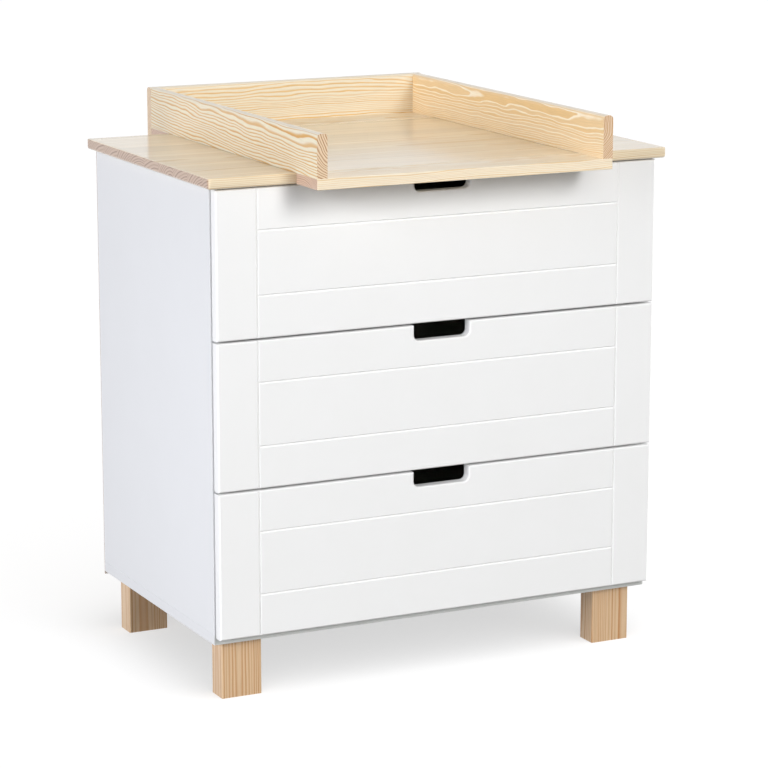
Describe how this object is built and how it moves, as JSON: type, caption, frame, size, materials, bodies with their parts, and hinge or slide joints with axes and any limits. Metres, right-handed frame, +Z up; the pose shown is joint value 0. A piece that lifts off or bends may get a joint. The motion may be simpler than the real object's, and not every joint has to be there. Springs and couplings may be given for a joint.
{
  "type": "chest of drawers",
  "caption": "White chest of drawers with framed fronts, finger notches, square pine feet and a pine top that carries a lift-off changing tray.",
  "frame": {"origin": "on the floor, midway between the outermost points of the chest and its tray", "axes": "+X to the right seen from the front, +Y to the back, +Z up; the drawers open along -Y"},
  "size_m": [0.846, 0.718, 0.9513],
  "materials": {
    "white_board": "white satin lacquer on board",
    "drawer_board": "white foil on board",
    "pine": "clear matt lacquer on glued pine",
    "hardboard": "raw hardboard",
    "runner_steel": "zinc-plated sheet steel",
    "fastener_zinc": "zinc plated"
  },
  "bodies": {
    "carcass": {"bottom_board": "white_board", "left_side": "white_board", "right_side": "white_board", "front_top_rail": "white_board", "rear_top_rail": "white_board", "top_board": "pine", "back_panel": "hardboard", "front_left_foot": "pine", "front_right_foot": "pine", "rear_left_foot": "pine", "rear_right_foot": "pine", "foot_screws": "fastener_zinc", "side_screws": "fastener_zinc", "top_screws": "fastener_zinc", "back_nails": "fastener_zinc", "runner_screws": "fastener_zinc", "rail_cam_fittings": "fastener_zinc", "bottom_left_cabinet_rail": "runner_steel", "bottom_right_cabinet_rail": "runner_steel", "middle_left_cabinet_rail": "runner_steel", "middle_right_cabinet_rail": "runner_steel", "top_left_cabinet_rail": "runner_steel", "top_right_cabinet_rail": "runner_steel"},
    "bottom_drawer": {"bottom_drawer_front": "white_board", "bottom_drawer_left_side": "drawer_board", "bottom_drawer_right_side": "drawer_board", "bottom_drawer_back": "drawer_board", "bottom_drawer_base": "hardboard", "bottom_drawer_left_rail": "runner_steel", "bottom_drawer_right_rail": "runner_steel", "bottom_drawer_cam_fittings": "fastener_zinc", "bottom_drawer_rail_screws": "fastener_zinc"},
    "bottom_intermediate_rails": {"bottom_intermediate_rails": "runner_steel"},
    "middle_drawer": {"middle_drawer_front": "white_board", "middle_drawer_left_side": "drawer_board", "middle_drawer_right_side": "drawer_board", "middle_drawer_back": "drawer_board", "middle_drawer_base": "hardboard", "middle_drawer_left_rail": "runner_steel", "middle_drawer_right_rail": "runner_steel", "middle_drawer_cam_fittings": "fastener_zinc", "middle_drawer_rail_screws": "fastener_zinc"},
    "middle_intermediate_rails": {"middle_intermediate_rails": "runner_steel"},
    "top_drawer": {"top_drawer_front": "white_board", "top_drawer_left_side": "drawer_board", "top_drawer_right_side": "drawer_board", "top_drawer_back": "drawer_board", "top_drawer_base": "hardboard", "top_drawer_left_rail": "runner_steel", "top_drawer_right_rail": "runner_steel", "top_drawer_cam_fittings": "fastener_zinc", "top_drawer_rail_screws": "fastener_zinc"},
    "top_intermediate_rails": {"top_intermediate_rails": "runner_steel"},
    "changing_tray": {"tray_left_board": "pine", "tray_right_board": "pine", "tray_back_board": "pine", "tray_front_strip": "pine", "tray_rear_strip": "pine", "tray_screws": "fastener_zinc"}
  },
  "joints": [
    {"name": "bottom_drawer_slide", "type": "slide", "parent": "carcass", "child": "bottom_drawer", "axis": [0, -1, 0], "range_m": [0, 0.4]},
    {"name": "bottom_rails_slide", "type": "slide", "parent": "carcass", "child": "bottom_intermediate_rails", "axis": [0, -1, 0], "range_m": [0, 0.2]},
    {"name": "middle_drawer_slide", "type": "slide", "parent": "carcass", "child": "middle_drawer", "axis": [0, -1, 0], "range_m": [0, 0.4]},
    {"name": "middle_rails_slide", "type": "slide", "parent": "carcass", "child": "middle_intermediate_rails", "axis": [0, -1, 0], "range_m": [0, 0.2]},
    {"name": "top_drawer_slide", "type": "slide", "parent": "carcass", "child": "top_drawer", "axis": [0, -1, 0], "range_m": [0, 0.4]},
    {"name": "top_rails_slide", "type": "slide", "parent": "carcass", "child": "top_intermediate_rails", "axis": [0, -1, 0], "range_m": [0, 0.2]},
    {"name": "tray_lift", "type": "slide", "parent": "carcass", "child": "changing_tray", "axis": [0, 0, 1], "range_m": [0, 0.15]}
  ],
  "couplings": [
    {"joint": "bottom_rails_slide", "follows": "bottom_drawer_slide", "ratio": 0.5},
    {"joint": "middle_rails_slide", "follows": "middle_drawer_slide", "ratio": 0.5},
    {"joint": "top_rails_slide", "follows": "top_drawer_slide", "ratio": 0.5}
  ]
}
